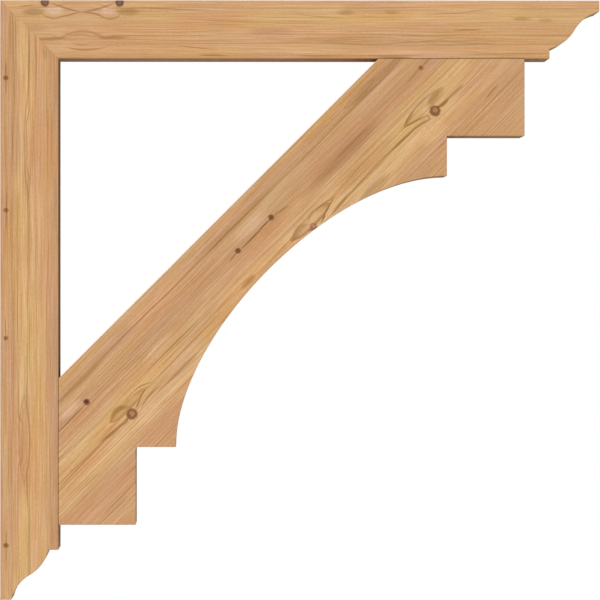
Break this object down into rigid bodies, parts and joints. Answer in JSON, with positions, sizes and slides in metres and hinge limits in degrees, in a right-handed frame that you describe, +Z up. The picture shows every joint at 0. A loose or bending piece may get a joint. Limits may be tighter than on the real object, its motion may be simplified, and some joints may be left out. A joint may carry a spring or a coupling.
{
  "type": "corbel bracket",
  "caption": "Knee-braced timber corbel bracket: mitred wall and top plates with ogee ends, and a diagonal brace with stepped ends and an arched lower edge.",
  "frame": {"origin": "middle of the wall plate's back face, where the bracket bears on the wall", "axes": "+X away from the wall, +Z up, Y across the width of the timbers"},
  "size_m": [0.9144, 0.1396, 0.9144],
  "materials": {
    "wall_plate_cedar": "smooth planed, bare",
    "top_plate_cedar": "smooth planed, bare",
    "brace_cedar": "smooth planed, bare"
  },
  "bodies": {
    "root": {"wall_plate": "wall_plate_cedar", "top_plate": "top_plate_cedar", "brace": "brace_cedar"}
  },
  "joints": []
}
